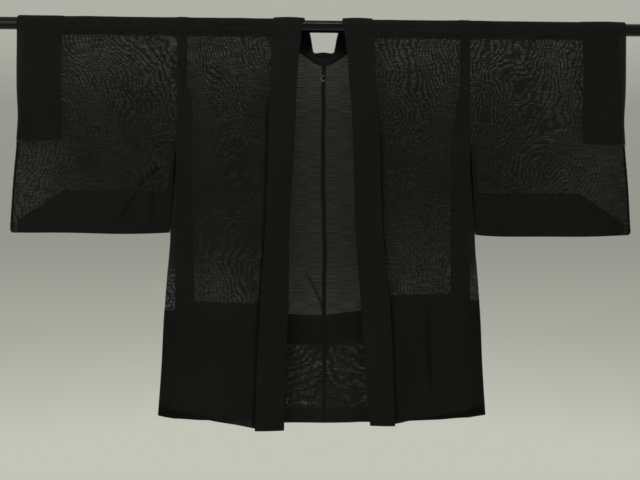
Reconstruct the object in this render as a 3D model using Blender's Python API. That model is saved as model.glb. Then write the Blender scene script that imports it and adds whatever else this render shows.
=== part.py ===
"""Haori jacket of sheer black summer gauze, hung by its sleeves on a round rod.

Metres, +Z up. The rod's axis is the X axis and the centre-back seam lies at X = 0.
The garment's front faces -Y. Left and right are the wearer's: left is +X.
"""
import math

import bmesh
import bpy
import numpy as np

RIGHT, LEFT = -1, 1     # sign of X
FRONT, BACK = -1, 1     # sign of Y
SIDE_NAMES = {RIGHT: "right", LEFT: "left"}

# Rod
ROD_RADIUS = 0.0127
ROD_HALF_LENGTH = 0.72
ROD_SIDES = 32
SHARP_ANGLE = 30        # degrees; its ends stay sharp

# Walls and gaps
CLOTH = 0.0012          # one panel, sleeve, gusset or leaf of the collar
TURNING = 0.0010        # a facing or turning that lies inside a panel
GAP = 0.0003            # between layers that lie on each other
ROD_GAP = 0.0005        # between the rod and the facings on it
LAYER_STEP = CLOTH / 2 + GAP + TURNING / 2      # from a panel's middle to its turning's
HANG_RADIUS = ROD_RADIUS + ROD_GAP + TURNING + GAP + CLOTH / 2
ARC_STEPS = 8           # facets of the cloth's half turn over the rod

# Body: heights below the rod's axis
ARMHOLE = -0.2457       # the sleeve is sewn on, and its cuff is open, down to here
HEM = -0.8463
NECK_TIP = -0.0785
NECK_CORNER = dict(x=0.0345, z=-0.0640)     # the neckline is nearly a V at the back
NECK_TOP_X = 0.0960     # where the back neck seam leaves the rod
BACK_TURNING_TOP = -0.6146
CLOSING = {FRONT: 0.0012, BACK: 0.0030}     # how much nearer the rod's plane each hem hangs
BODY_COLUMNS = 7
NECK_ROWS = (-0.0190, -0.0380, -0.0510)     # beside the back neck, above its corner
BACK_ROWS = (-0.1350, -0.1900)      # below the neck
UPPER_ROWS = (-0.0400, -0.0850) + BACK_ROWS
LOWER_ROWS = (-0.3000, -0.3700, -0.4500, -0.5300)
HEM_ROWS = (-0.6800, -0.7600)
TURNING_TRIM = dict(inner=0.0015, outer=0.0050)     # a hem turning ends this far inside its panel
SLOPE_SPREAD = 4        # how fast the rows above the hem take on its slope
SIDE_SEAM = (
    dict(z=0.0000, x=0.3080),
    dict(z=-0.2457, x=0.3090),
    dict(z=-0.6000, x=0.3105),
    dict(z=-0.8463, x=0.3125),
)

# What differs between the two sides: the turning's top, the hem at the side seam and at the collar
SIDES = {
    RIGHT: dict(turning_top=-0.5957, hem_side=-0.8157, hem_collar=-0.8517, back_hem_side=-0.8370),
    LEFT: dict(turning_top=-0.5777, hem_side=-0.8150, hem_collar=-0.8417, back_hem_side=-0.8350),
}

# Collar: its folded edge and its free edge down each front
COLLAR_EDGES = {
    RIGHT: (
        dict(z=0.0000, fold=0.0415, free=0.1100),
        dict(z=-0.0850, fold=0.0530, free=0.1120),
        dict(z=-0.2600, fold=0.0635, free=0.1170),
        dict(z=-0.4550, fold=0.0728, free=0.1227),
        dict(z=-0.6000, fold=0.0735, free=0.1325),
        dict(z=-0.8520, fold=0.0817, free=0.1414),
    ),
    LEFT: (
        dict(z=0.0000, fold=0.0369, free=0.1018),
        dict(z=-0.0650, fold=0.0477, free=0.1060),
        dict(z=-0.1500, fold=0.0564, free=0.1124),
        dict(z=-0.4550, fold=0.0693, free=0.1257),
        dict(z=-0.6000, fold=0.0801, free=0.1408),
        dict(z=-0.8420, fold=0.0996, free=0.1516),
    ),
}
# Its folded edge behind the neck, beside each row of the neck seam and at the centre back
COLLAR_BEHIND = (
    dict(x=0.0380, y=HANG_RADIUS, z=0.0000),
    dict(x=0.0310, y=0.0270, z=-0.0040),
    dict(x=0.0270, y=0.0380, z=-0.0170),
    dict(x=0.0245, y=0.0440, z=-0.0310),
    dict(x=0.0200, y=0.0465, z=-0.0410),
    dict(x=0.0000, y=0.0480, z=-0.0390),
)
COLLAR_ROLL = 0.0009    # radius of the roll between its two leaves
COVER_FRONT = 0.0040    # how far the outer leaf reaches past the seam
COVER_BEHIND = 0.0015
SEAM_FRONT = 0.00045    # from the body's edge to the middle of its inner leaf
SEAM_BEHIND = 0.00120   # behind the neck the leaf stands square to the body, so it is further

# Sleeves
SLEEVE_BOTTOM = -0.4395
SLEEVE_SAG = {RIGHT: 0.0020, LEFT: 0.0050}
BOTTOM_ROLL = 0.0019    # radius of the fold along the bottom
CUFF_HALF_GAP = 0.0028  # front to middle, at the lower end of the cuff opening
CUFF_CLOSING = 0.0600   # height below it over which the sewn edge closes fully
SLEEVE_WIDTH = 0.3320
FACING_WIDTH = 0.0910
FACING_TRIM = 0.0010    # its outer edge lies inside the cuff's
TURNING_INSET = 0.0010  # the bottom turning starts this far from the sleeve's inner edge
TURNING_SLANT_TOP = 0.5490      # outer end of the bottom turning's top edge
TURNING_SLANT_END = dict(x=0.6450, z=-0.4147)
CUFF_EDGE = (
    dict(z=0.0000, x=0.6400),
    dict(z=-0.1500, x=0.6400),
    dict(z=-0.1950, x=0.6375),
    dict(z=-0.2457, x=0.6430),
    dict(z=-0.3400, x=0.6520),
    dict(z=-0.4395, x=0.6590),
)
FREE_EDGE = (
    dict(z=-0.2457, x=0.3093),
    dict(z=-0.3000, x=0.3140),
    dict(z=-0.4395, x=0.3255),
)
FACING_COLUMN = 5       # the column that lies on the facing's inner edge
SLEEVE_COLUMNS = (0.0, 0.10, 0.22, 0.38, 0.55, 1 - FACING_WIDTH / SLEEVE_WIDTH, 0.86, 0.95, 1.0)
NEAR_EDGES = 0.4        # share of the width over which its depth follows the body or the cuff
SAG_SKEW = 0.7          # moves the lowest place of the sag towards the body
LOWER_SLEEVE = (0.28, 0.55, 0.80, 1.0)      # rows between the cuff opening and the bottom fold
BOTTOM_STEPS = 4

# Gussets: the pressed crease that stands out between front and back
GUSSET_START = 0.0040   # below the armhole
GUSSET_INSET = dict(x=0.0010, y=0.0016)     # its edges lie inside the panels' edges
GUSSET_COLUMNS = (0.0, 0.22, 0.42, 0.50, 0.58, 0.78, 1.0)
GUSSET_ROUNDING = 1.2
GUSSET_CREASE = (
    dict(z=-0.2457, x=0.3082),
    dict(z=-0.3000, x=0.3105),
    dict(z=-0.4395, x=0.3220),
    dict(z=-0.5400, x=0.3310),
    dict(z=-0.6200, x=0.3365),
    dict(z=-0.7200, x=0.3410),
    dict(z=-0.8463, x=0.3493),
)

# Largest soft folds of the body: a line from its top to its foot (x, z), its spread and its height
BODY_FOLDS = (
    dict(side=LEFT, leaf=FRONT, top=(0.200, -0.500), foot=(0.222, -0.846), spread=0.026, height=0.0040),
    dict(side=LEFT, leaf=FRONT, top=(0.265, -0.560), foot=(0.290, -0.846), spread=0.024, height=0.0035),
    dict(side=LEFT, leaf=BACK, top=(0.150, -0.300), foot=(0.165, -0.846), spread=0.034, height=0.0040),
    dict(side=RIGHT, leaf=FRONT, top=(0.205, -0.420), foot=(0.225, -0.846), spread=0.036, height=0.0025),
    dict(side=RIGHT, leaf=BACK, top=(0.185, -0.330), foot=(0.205, -0.846), spread=0.036, height=0.0045),
)
FOLD_FADE = 0.6         # share of a fold's length over which it grows

# Colours
SHEER = (0.020, 0.020, 0.018)       # one layer of gauze
DENSE = (0.012, 0.012, 0.011)       # a facing or turning
COLLAR = (0.012, 0.012, 0.012)
ROD = (0.012, 0.012, 0.013)
CLOTH_ROUGHNESS = 0.75
ROD_ROUGHNESS = 0.22


def smooth_step(value):
    value = np.clip(value, 0.0, 1.0)
    return value * value * (3 - 2 * value)


def read_table(table, column, heights):
    """One column of a table at any heights, on a smooth curve through its rows."""
    rows = sorted(table, key=lambda row: row["z"])
    z = np.array([row["z"] for row in rows])
    value = np.array([row[column] for row in rows])
    slope = np.gradient(value, z)
    height = np.clip(heights, z[0], z[-1])
    below = np.clip(np.searchsorted(z, height) - 1, 0, len(z) - 2)
    step = z[below + 1] - z[below]
    t = (height - z[below]) / step
    start = value[below] * (1 + 2 * t) + slope[below] * step * t
    end = value[below + 1] * (3 - 2 * t) + slope[below + 1] * step * (t - 1)
    return start * (1 - t) ** 2 + end * t ** 2


def unit(vectors):
    return vectors / np.linalg.norm(vectors, axis=-1, keepdims=True)


def fold_height(fold, x, z):
    """Height of one soft fold: a bell across its line, growing from its top to its foot."""
    top_x, top_z = fold["top"]
    foot_x, foot_z = fold["foot"]
    run_x, run_z = foot_x - top_x, foot_z - top_z
    length = math.hypot(run_x, run_z)
    along = ((x - top_x) * run_x + (z - top_z) * run_z) / length ** 2
    across = ((x - top_x) * run_z - (z - top_z) * run_x) / length
    return fold["height"] * smooth_step(along / FOLD_FADE) * np.exp(-(across / fold["spread"]) ** 2)


def body_depth(side, leaf, x, z):
    """Distance from the rod's upright plane to the middle of a body panel."""
    depth = HANG_RADIUS - CLOSING[leaf] * z / HEM
    for fold in BODY_FOLDS:
        if (fold["side"], fold["leaf"]) == (side, leaf):
            depth = depth + fold_height(fold, x, z)
    return depth


def inner_edge(side, leaf, z):
    """The edge of a body length at the centre back, at the neck, or under the collar."""
    if leaf == FRONT:
        return read_table(COLLAR_EDGES[side], "free", z) - COVER_FRONT
    heights = (NECK_TIP, NECK_CORNER["z"], 0.0)
    return np.interp(z, heights, (GAP / 2, NECK_CORNER["x"], NECK_TOP_X))


def hem_height(side, leaf, across):
    """Height of the hem, from the centre (0) to the side seam (1)."""
    if leaf == FRONT:
        return SIDES[side]["hem_side"] + (SIDES[side]["hem_collar"] - SIDES[side]["hem_side"]) * (1 - across)
    return HEM + (SIDES[side]["back_hem_side"] - HEM) * across ** 2


def body_row(side, leaf, level):
    """One level row of a hanging leaf; near the hem the rows follow its slope."""
    across = np.linspace(0, 1, BODY_COLUMNS + 1)
    inner = inner_edge(side, leaf, level)
    x = inner + (read_table(SIDE_SEAM, "x", level) - inner) * across
    z = level + (hem_height(side, leaf, across) - HEM) * (level / HEM) ** SLOPE_SPREAD
    return np.stack([side * x, leaf * body_depth(side, leaf, x, z), z], axis=1)


def arc_angles():
    """Angles over the rod, from the back (0) to the front, without the two ends."""
    return np.linspace(0, math.pi, ARC_STEPS + 1)[1:-1]


def over_rod(x, angle):
    """A row that lies over the rod."""
    return np.stack([x, np.full_like(x, HANG_RADIUS * math.cos(angle)),
                     np.full_like(x, HANG_RADIUS * math.sin(angle))], axis=1)


def body_levels(side, leaf):
    """Heights of the rows of one leaf, from the rod to the hem."""
    if leaf == FRONT:
        upper = UPPER_ROWS
        turning_top = SIDES[side]["turning_top"]
    else:
        upper = NECK_ROWS + (NECK_CORNER["z"], NECK_TIP) + BACK_ROWS
        turning_top = BACK_TURNING_TOP
    return (0.0,) + upper + (ARMHOLE,) + LOWER_ROWS + (turning_top,) + HEM_ROWS + (HEM,)


def body_grid(side):
    """Middle surface of one body length, from the back hem over the rod to the front hem."""
    rows = [body_row(side, BACK, level) for level in reversed(body_levels(side, BACK))]
    across = np.linspace(0, 1, BODY_COLUMNS + 1)
    shoulder = SIDE_SEAM[0]["x"]
    for angle in arc_angles():
        inner = NECK_TOP_X + (inner_edge(side, FRONT, 0.0) - NECK_TOP_X) * angle / math.pi
        rows.append(over_rod(side * (inner + (shoulder - inner) * across), angle))
    rows += [body_row(side, FRONT, level) for level in body_levels(side, FRONT)]
    return np.array(rows)


def grid_normals(grid):
    """Unit normals of a grid, pointing away from the rod's upright plane."""
    normals = unit(np.cross(np.gradient(grid, axis=0), np.gradient(grid, axis=1)))
    outward = grid[..., 1] * normals[..., 1] + np.maximum(grid[..., 2], 0) * normals[..., 2]
    return normals * np.where(outward < 0, -1.0, 1.0)[..., None]


def moved_in(grid):
    """The same points, moved to where a facing or turning lies inside them."""
    return grid - grid_normals(grid) * LAYER_STEP


def sleeve_bottom(side, across):
    return SLEEVE_BOTTOM - SLEEVE_SAG[side] * np.sin(math.pi * across ** SAG_SKEW)


def sleeve_depth(side, leaf, z, across):
    """Distance from the rod's plane to a sleeve's leaf.

    At the armhole it follows the body; in the middle it falls straight to the bottom fold;
    at the outer edge it closes at the end of the cuff opening.
    """
    foot = sleeve_bottom(side, across) + BOTTOM_ROLL
    straight = HANG_RADIUS + (BOTTOM_ROLL - HANG_RADIUS) * z / foot
    at_body = body_depth(side, leaf, read_table(SIDE_SEAM, "x", z), np.maximum(z, ARMHOLE))
    below = np.clip((ARMHOLE - z) / (ARMHOLE - foot), 0, 1)
    inner = at_body + (BOTTOM_ROLL - at_body) * below
    to_cuff = HANG_RADIUS + (CUFF_HALF_GAP - HANG_RADIUS) * np.clip(z / ARMHOLE, 0, 1)
    closed = smooth_step((ARMHOLE - z) / CUFF_CLOSING)
    outer = to_cuff + (BOTTOM_ROLL - CUFF_HALF_GAP) * closed
    near_body = smooth_step(1 - across / NEAR_EDGES)
    near_cuff = smooth_step(1 - (1 - across) / NEAR_EDGES)
    return straight + (inner - straight) * near_body + (outer - straight) * near_cuff


def sleeve_width(z, across):
    """Distance from the centre, from the sleeve's inner edge (0) to its outer edge (1)."""
    inner = np.where(z >= ARMHOLE, read_table(SIDE_SEAM, "x", z) + GAP, read_table(FREE_EDGE, "x", z))
    return inner + (read_table(CUFF_EDGE, "x", z) - inner) * across


def sleeve_row(side, leaf, z):
    across = np.array(SLEEVE_COLUMNS)
    heights = np.broadcast_to(z, across.shape)
    return np.stack([side * sleeve_width(heights, across),
                     leaf * sleeve_depth(side, leaf, heights, across), heights], axis=1)


def sleeve_ring(side):
    """Rings of a sleeve: up the back from the armhole's end, over the rod, round and back."""
    across = np.array(SLEEVE_COLUMNS)
    upper = (0.0,) + UPPER_ROWS + (ARMHOLE,)
    foot = sleeve_bottom(side, across) + BOTTOM_ROLL
    lower = [ARMHOLE + (foot - ARMHOLE) * share for share in LOWER_SLEEVE]
    rows = [sleeve_row(side, BACK, z) for z in reversed(upper)]
    rows += [over_rod(side * sleeve_width(np.zeros(across.shape), across), angle) for angle in arc_angles()]
    rows += [sleeve_row(side, FRONT, z) for z in upper]
    rows += [sleeve_row(side, FRONT, z) for z in lower]
    edge = side * sleeve_width(foot, across)
    for angle in np.linspace(0, math.pi, BOTTOM_STEPS + 1)[1:-1]:
        y = np.full_like(across, -BOTTOM_ROLL * math.cos(angle))
        rows.append(np.stack([edge, y, foot - BOTTOM_ROLL * math.sin(angle)], axis=1))
    rows += [sleeve_row(side, BACK, z) for z in reversed(lower)]
    return np.array(rows)


def sleeve_turning(side, ring, first_row):
    """The deep turning inside the front leaf's foot, with its slanted outer end."""
    rows = ring[first_row:first_row + 3].copy()
    slant = np.interp(rows[:, 0, 2], (TURNING_SLANT_END["z"], rows[0, 0, 2]),
                      (TURNING_SLANT_END["x"], TURNING_SLANT_TOP))
    rows[:, :, 1] += LAYER_STEP + GAP
    start = side * rows[:, :1, 0] + TURNING_INSET
    share = np.linspace(0, 1, rows.shape[1])
    grid = np.empty_like(rows)
    for index, row in enumerate(rows):
        x = start[index] + (slant[index] - start[index]) * share
        grid[index] = np.stack([side * x, np.interp(x, side * row[:, 0], row[:, 1]),
                                np.interp(x, side * row[:, 0], row[:, 2])], axis=1)
    return grid


def gusset_grid(side, body):
    """The gusset between the side seams, standing out to its pressed crease."""
    count = len(LOWER_ROWS) + len(HEM_ROWS) + 3
    back = body[:count, -1][::-1].copy()
    front = body[-count:, -1].copy()
    for edge, leaf in ((front, FRONT), (back, BACK)):
        edge[:, 0] -= side * GUSSET_INSET["x"]
        edge[:, 1] -= leaf * GUSSET_INSET["y"]
        edge[0, 2] -= GUSSET_START
    across = np.array(GUSSET_COLUMNS)[None, :, None]
    grid = front[:, None] * (1 - across) + back[:, None] * across
    bulge = 1 - np.abs(2 * across[..., 0] - 1) ** GUSSET_ROUNDING
    crease = read_table(GUSSET_CREASE, "x", grid[..., 2])
    grid[..., 0] += (side * crease - grid[..., 0]) * bulge
    return grid


def collar_half(side, body):
    """Sections of half the collar, from the front hem to the back corner of the neck.

    Each section runs from the seam across the inner leaf to the roll, and back across
    the outer leaf to the free edge.
    """
    corner_row = body_levels(side, BACK)[::-1].index(NECK_CORNER["z"])
    edge = body[corner_row:, 0][::-1]
    beside = body[corner_row:, 1][::-1]
    front_rows = len(body_levels(side, FRONT))
    behind_row = front_rows + ARC_STEPS - 1
    lift = np.stack([np.zeros(len(edge)), edge[:, 1], np.maximum(edge[:, 2], 0)], axis=1)
    lift = unit(lift)
    inward = unit(np.cross(lift, np.gradient(edge, axis=0)))
    inward *= np.sign(np.sum(inward * (edge - beside), axis=1))[:, None]
    past_front = np.arange(len(edge)) - front_rows
    apart = np.interp(past_front, (0, ARC_STEPS), (SEAM_FRONT, SEAM_BEHIND))
    seam = edge + inward * apart[:, None]
    fold = seam.copy()
    table = COLLAR_EDGES[side]
    fold[:front_rows, 0] = side * read_table(table, "fold", edge[:front_rows, 2])
    shares = np.arange(1, ARC_STEPS) / ARC_STEPS
    over_top = table[0]["fold"] + (COLLAR_BEHIND[0]["x"] - table[0]["fold"]) * shares
    fold[front_rows:behind_row, 0] = side * over_top
    for offset, row in enumerate(COLLAR_BEHIND[:-1]):
        fold[behind_row + offset] = (side * row["x"], row["y"], row["z"])
    cover = np.interp(past_front, (0, ARC_STEPS), (COVER_FRONT, COVER_BEHIND))
    free = edge - inward * cover[:, None] + lift * 2 * COLLAR_ROLL
    return seam, fold, free, lift


def collar_grid(bodies):
    """The whole collar: right half, centre back, left half."""
    halves = {side: collar_half(side, bodies[side]) for side in (RIGHT, LEFT)}
    tip_row = body_levels(RIGHT, BACK)[::-1].index(NECK_TIP)
    tip = bodies[RIGHT][tip_row, 0] * (0, 1, 1)
    centre = (tip + (0, 0, SEAM_BEHIND), [COLLAR_BEHIND[-1][axis] for axis in "xyz"],
              tip + (0, 2 * COLLAR_ROLL, -COVER_BEHIND), (0, 1, 0))
    seam, fold, free, lift = (
        np.concatenate([halves[RIGHT][index], [centre[index]], halves[LEFT][index][::-1]])
        for index in range(4))
    across = fold - seam
    width = np.linalg.norm(across, axis=1, keepdims=True)
    across = across / width
    out = unit(np.cross(np.gradient((seam + fold) / 2, axis=0), across))
    out *= np.sign(np.sum(out * lift, axis=1))[:, None]
    bend = seam + across * (width - COLLAR_ROLL)
    middle = bend + out * COLLAR_ROLL
    points = [seam, (seam + bend) / 2, bend]
    for angle in (math.pi / 3, 2 * math.pi / 3):
        points.append(middle + COLLAR_ROLL * (across * math.sin(angle) - out * math.cos(angle)))
    top = bend + out * 2 * COLLAR_ROLL
    points += [top, (top + free) / 2, free]
    return np.stack(points, axis=1)


def make_material(name, colour, roughness, metallic):
    material = bpy.data.materials.new(name)
    material.use_nodes = True
    shader = material.node_tree.nodes["Principled BSDF"]
    shader.inputs["Base Color"].default_value = (*colour, 1)
    shader.inputs["Roughness"].default_value = roughness
    shader.inputs["Metallic"].default_value = metallic
    material.diffuse_color = (*colour, 1)
    return material


def add_object(name, mesh, colour, roughness, metallic=0.0):
    mesh.shade_smooth()
    mesh.materials.append(make_material(name, colour, roughness, metallic))
    item = bpy.data.objects.new(name, mesh)
    bpy.context.collection.objects.link(item)
    return item


def add_cloth(name, grid, thickness, colour, ring=False, extra_faces=(), even=True):
    """A cloth wall on a grid of points; ring joins the last row to the first."""
    rows, columns = grid.shape[:2]
    faces = []
    for row in range(rows if ring else rows - 1):
        below = (row + 1) % rows
        for column in range(columns - 1):
            faces.append((row * columns + column, row * columns + column + 1,
                          below * columns + column + 1, below * columns + column))
    mesh = bpy.data.meshes.new(name)
    mesh.from_pydata(grid.reshape(-1, 3).tolist(), [], faces + list(extra_faces))
    shape = bmesh.new()
    shape.from_mesh(mesh)
    bmesh.ops.recalc_face_normals(shape, faces=shape.faces)
    shape.to_mesh(mesh)
    shape.free()
    item = add_object(name, mesh, colour, CLOTH_ROUGHNESS)
    wall = item.modifiers.new("wall", "SOLIDIFY")
    wall.thickness = thickness
    wall.offset = 0
    wall.use_even_offset = even
    return item


def add_rod():
    mesh = bpy.data.meshes.new("rod")
    shape = bmesh.new()
    bmesh.ops.create_cone(shape, cap_ends=True, segments=ROD_SIDES, radius1=ROD_RADIUS,
                          radius2=ROD_RADIUS, depth=2 * ROD_HALF_LENGTH)
    shape.to_mesh(mesh)
    shape.free()
    rod = add_object("rod", mesh, ROD, ROD_ROUGHNESS)
    mesh.set_sharp_from_angle(angle=math.radians(SHARP_ANGLE))
    rod.rotation_euler = (0, math.pi / 2, 0)


def sleeve_end(ring, columns):
    """Faces that close the outer edge below the cuff opening, down to the bottom fold."""
    last = columns - 1
    front = 2 * (len(UPPER_ROWS) + 2) + ARC_STEPS - 2
    back = ring
    faces = []
    for step in range(len(LOWER_SLEEVE)):
        corners = (front + step, front + step + 1, back - step - 1, (back - step) % ring)
        faces.append([corner * columns + last for corner in corners])
    foot = range(front + len(LOWER_SLEEVE), back - len(LOWER_SLEEVE) + 1)
    faces.append([corner * columns + last for corner in foot])
    return faces, front


def add_side(side, body):
    """All the pieces of one side of the garment."""
    name = SIDE_NAMES[side]
    add_cloth(f"body_{name}", body, CLOTH, SHEER)

    hem_rows = len(HEM_ROWS) + 2        # the turning's top and the hem as well
    for piece, rows in (("front_hem", body[-hem_rows:]), ("back_hem", body[:hem_rows])):
        turning = moved_in(rows)
        turning[:, 0, 0] += side * TURNING_TRIM["inner"]
        turning[:, -1, 0] -= side * TURNING_TRIM["outer"]
        add_cloth(f"{piece}_{name}", turning, TURNING, DENSE)

    ring = sleeve_ring(side)
    end_faces, cuff_row = sleeve_end(*ring.shape[:2])
    add_cloth(f"sleeve_{name}", ring, CLOTH, SHEER, ring=True, extra_faces=end_faces)
    facing = moved_in(ring[:cuff_row + 1, FACING_COLUMN:])
    facing[:, -1, 0] -= side * FACING_TRIM
    add_cloth(f"cuff_facing_{name}", facing, TURNING, DENSE)
    add_cloth(f"sleeve_turning_{name}", sleeve_turning(side, ring, cuff_row + 2), TURNING, DENSE)
    add_cloth(f"gusset_{name}", gusset_grid(side, body), CLOTH, SHEER, even=False)


def main():
    for item in list(bpy.data.objects):
        bpy.data.objects.remove(item, do_unlink=True)
    add_rod()
    bodies = {side: body_grid(side) for side in (RIGHT, LEFT)}
    for side, body in bodies.items():
        add_side(side, body)
    add_cloth("collar", collar_grid(bodies), CLOTH, COLLAR)


main()
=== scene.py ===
import math

import bpy
import numpy as np
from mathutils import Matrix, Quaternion, Vector


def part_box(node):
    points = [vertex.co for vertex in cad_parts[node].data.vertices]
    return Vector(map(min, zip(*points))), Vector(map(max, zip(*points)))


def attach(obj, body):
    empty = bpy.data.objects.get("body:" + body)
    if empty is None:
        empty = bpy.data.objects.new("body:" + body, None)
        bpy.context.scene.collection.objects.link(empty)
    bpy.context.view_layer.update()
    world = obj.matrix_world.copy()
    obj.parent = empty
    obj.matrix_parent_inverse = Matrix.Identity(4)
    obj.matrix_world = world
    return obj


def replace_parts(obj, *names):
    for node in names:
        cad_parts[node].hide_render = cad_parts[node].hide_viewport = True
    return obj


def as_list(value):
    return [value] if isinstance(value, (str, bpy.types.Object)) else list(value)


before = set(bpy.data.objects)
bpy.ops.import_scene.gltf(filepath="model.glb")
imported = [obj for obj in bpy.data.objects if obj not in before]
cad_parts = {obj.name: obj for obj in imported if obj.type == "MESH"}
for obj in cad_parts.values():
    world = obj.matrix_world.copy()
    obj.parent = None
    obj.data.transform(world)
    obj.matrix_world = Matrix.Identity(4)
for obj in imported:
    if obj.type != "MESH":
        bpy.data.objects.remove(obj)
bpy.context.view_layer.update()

# A sheer black haori hung by its sleeves on a round rod. Metres, +Z up, the rod along X.
# The front faces -Y; left and right are the wearer's, so left is +X.
right, left = -1, 1
front, back = -1, 1
sideNames = {right: "right", left: "left"}


def lowest(node, axis):
    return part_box(node)[0][axis]


def highest(node, axis):
    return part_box(node)[1][axis]


rodRadius = highest("rod", 2)
rodEnd = highest("rod", 0)
hang = rodRadius + 0.0024  # middle of the cloth where it lies over the rod
quarter = hang * math.pi / 2  # cloth from the top of the rod to where it hangs free
armhole = lowest("cuff_facing_left", 2)
backHem = lowest("back_hem_left", 2)
backTurningTop = highest("back_hem_left", 2)
frontTurningTop = {side: highest(f"front_hem_{name}", 2) for side, name in sideNames.items()}
sleeveFoot = lowest("sleeve_right", 2) + 0.002

cloth = dict(
    thickness=0.0004,  # one layer of gauze
    cell=0.0040,  # spacing of the points on every sheet,
    rodCell=0.0016,  # and where it turns over the rod
    inside=0.0014,  # from a panel to a facing or turning that lies inside it
    allowance=0.0007,  # from a panel to its own seam allowance
    seamSink=0.0008,  # a sewn edge sinks in by this much,
    seamWidth=0.0030,  # over this width
    pucker=0.00022,
    pinch=0.0026,  # half width of the dark line of a pinched crease
)


def smoothStep(value):
    value = np.clip(value, 0.0, 1.0)
    return value * value * (3 - 2 * value)


def bell(distance, width):
    return np.exp(-(distance / width) ** 2)


# A cubic through known points, with each slope taken from its neighbours
def curveThrough(places, values, at):
    places, values = np.asarray(places, float), np.asarray(values, float)
    slope = np.gradient(values, places)
    at = np.clip(at, places[0], places[-1])
    i = np.clip(np.searchsorted(places, at) - 1, 0, len(places) - 2)
    step = places[i + 1] - places[i]
    t = (at - places[i]) / step
    return ((values[i] * (1 + 2 * t) + slope[i] * step * t) * (1 - t) ** 2
            + (values[i + 1] * (3 - 2 * t) + slope[i + 1] * step * (t - 1)) * t ** 2)


def readTable(table, column, z):  # a table's z runs up, from the hem to the rod
    return curveThrough(table["z"], table[column], z)


def unit(vectors):
    return vectors / np.maximum(np.linalg.norm(vectors, axis=-1, keepdims=True), 1e-12)


def stacked(*values):
    return np.stack(np.broadcast_arrays(*values), axis=-1)


# Even steps from a to b, each no longer than the cell
def steps(a, b, cell=cloth["cell"]):
    return np.linspace(a, b, max(2, math.ceil(abs(b - a) / cell) + 1))


# The same over several stretches in turn, as a column
def rowsOver(*stretches):
    parts = [steps(*stretch) for stretch in stretches]
    return np.concatenate([part[:-1] for part in parts[:-1]] + parts[-1:])[:, None]


# A fold or crease from a start to an end, (x, z). A height over 0 stands out, under 0 sinks in;
# grow is the share of its length in which it rises, and openEnd keeps its height to the end
def crease(start, end, width, height, bend=0.0, grow=0.3, dark=0.0, openEnd=False):
    return dict(start=start, end=end, width=width, height=height,
                bend=bend, grow=grow, dark=dark, openEnd=openEnd)


# A sum of bells, each across its own bent line
def creaseHeights(creases, x, z):
    total = np.zeros(np.broadcast(x, z).shape)
    for line in creases:
        (x0, z0), (x1, z1) = line["start"], line["end"]
        runX, runZ = x1 - x0, z1 - z0
        length = math.hypot(runX, runZ)
        along = ((x - x0) * runX + (z - z0) * runZ) / length ** 2
        across = ((x - x0) * runZ - (z - z0) * runX) / length
        bend = line["bend"] * np.sin(math.pi * np.clip(along, 0, 1))
        fade = smoothStep(along / line["grow"]) * (1.0 if line["openEnd"] else smoothStep((1 - along) / 0.3))
        total = total + line["height"] * fade * bell(across - bend, line["width"])
    return total


# Painted shade in pinched creases, partly from their layers lying on each other there: narrow bells, 0 to 1
def creaseShade(creases, x, z):
    pinched = [dict(line, height=line["dark"], width=cloth["pinch"]) for line in creases if line["dark"]]
    return np.clip(creaseHeights(pinched, x, z), 0, 0.9)


# Long shallow waves of hanging cloth: a sum of sines that grows with the drop below the rod
def slackWaves(x, z, height, seed):
    drop = smoothStep(-z / 0.25)
    waves = (np.sin(31 * x + 5.3 * z + seed) + 0.6 * np.sin(53 * x - 8.1 * z + 2.1 * seed)
             + 0.5 * np.sin(17 * x + 19 * z + 3.7 * seed) + 0.35 * np.sin(12 * x - 41 * z + 1.3 * seed))
    return height * drop * waves / 2.4


# Small ripples where a seam draws the cloth in: sines along the seam that die away from it
def seamPucker(distance, along, seed):
    ripple = (np.sin(along * 260 + seed) + 0.7 * np.sin(along * 173 + 2.3 * seed)
              + 0.5 * np.sin(along * 87 + seed))
    return cloth["pucker"] * ripple * np.exp(-np.abs(distance) / 0.011)


def seamSink(distance):
    return cloth["seamSink"] * bell(distance, cloth["seamWidth"])


# A strip over the rod: s runs from the back (-) over its top (0) to the front (+).
# Past a quarter turn on each side the cloth hangs, and z is its drop.
def dropAt(s):
    return -np.maximum(np.abs(s) - quarter, 0)


def overRod(s, x, drop, depth, lift=0.0):
    angle = np.clip(s / quarter, -1, 1) * math.pi / 2
    return stacked(x, -np.sin(angle) * (depth + lift), np.cos(angle) * (hang + lift) + drop)


# Where the cloth lies loosely on top of the rod it lifts off it in low lumps
def rodLumps(x):
    waves = np.sin(23 * x + 0.7) + 0.8 * np.sin(41 * x + 2.1) + 0.5 * np.sin(97 * x)
    return 0.00035 * np.maximum(waves, 0)


def gridNormals(grid):
    along, across = np.gradient(grid, axis=0), np.gradient(grid, axis=1)
    return unit(np.cross(along, across))


def outward(points, normals):  # the normals, all turned away from the rod's upright plane
    facing = points[..., 1] * normals[..., 1] + np.maximum(points[..., 2], 0) * normals[..., 2]
    return normals * np.where(facing < 0, -1.0, 1.0)[..., None]


def movedIn(grid, distance):
    return grid - outward(grid, gridNormals(grid)) * distance


# The body: one length of cloth on each side
bodyCut = dict(
    cover=0.0040,  # the collar's free edge reaches past the seam by this much
    underCollar=0.0030,  # the cloth goes on under the collar
    closing={front: 0.0012, back: 0.0030},  # how much nearer each leaf is at the hem
    slack={front: 0.0011, back: 0.0016},
    centreSink=0.0009,
    centreWidth=0.0035,
)
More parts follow.
